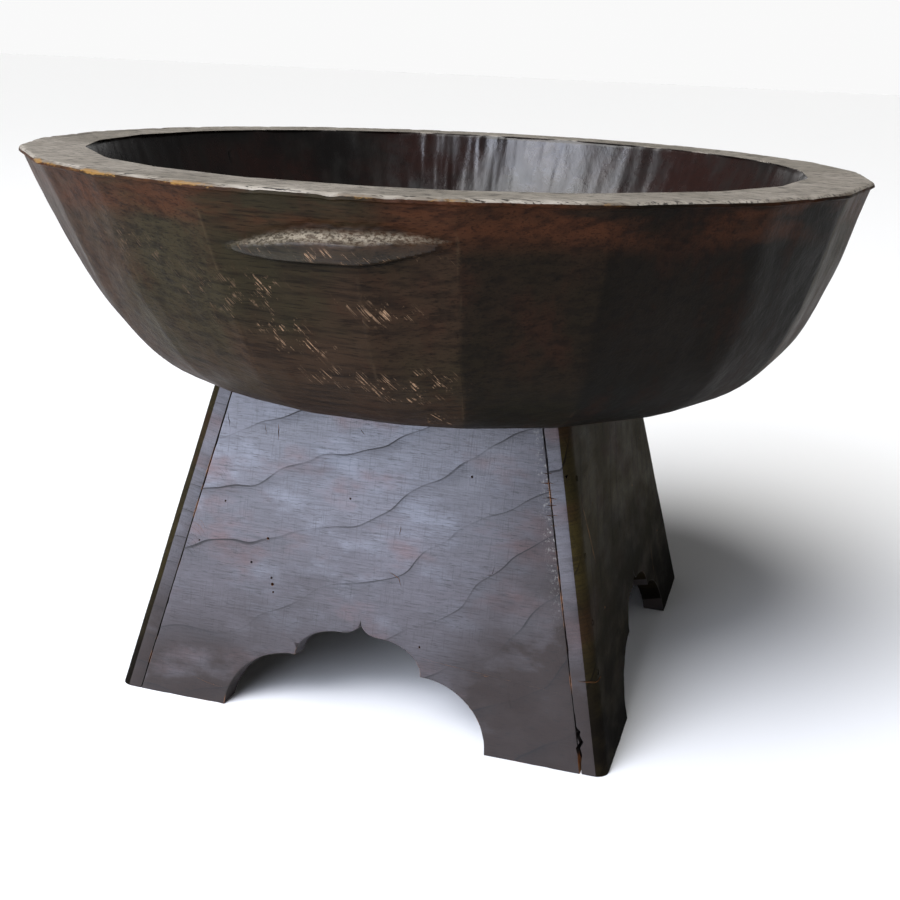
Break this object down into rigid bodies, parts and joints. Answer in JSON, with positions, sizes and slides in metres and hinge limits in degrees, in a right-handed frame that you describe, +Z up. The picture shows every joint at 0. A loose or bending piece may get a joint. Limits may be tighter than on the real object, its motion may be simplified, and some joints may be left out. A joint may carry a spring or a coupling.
{
  "type": "carved wooden bowl on stand",
  "caption": "Large round hand-carved wooden bowl with a flat rim and carved grips, resting loosely on a tapered square board stand with cusped arches between its feet.",
  "frame": {"origin": "on the floor, in the middle of the stand's four feet", "axes": "+Z up; the stand's front board faces -Y and its right side board faces +X"},
  "size_m": [0.55, 0.5456, 0.3467],
  "materials": {
    "bowl_wood": "dark red-brown, hand-rubbed and worn, satin",
    "end_board_wood": "dark grey-brown, worn satin with visible grain",
    "side_board_wood": "dark olive-brown, worn satin",
    "nail_iron": "blackened, rusted iron"
  },
  "bodies": {
    "stand": {"front_board": "end_board_wood", "right_board": "side_board_wood", "back_board": "end_board_wood", "left_board": "side_board_wood", "front_right_nails": "nail_iron", "back_right_nails": "nail_iron", "back_left_nails": "nail_iron", "front_left_nails": "nail_iron"},
    "bowl": {"bowl": "bowl_wood"}
  },
  "joints": [
    {"name": "bowl_lift", "type": "slide", "parent": "stand", "child": "bowl", "axis": [0, 0, 1], "range_m": [0, 0.2]}
  ]
}
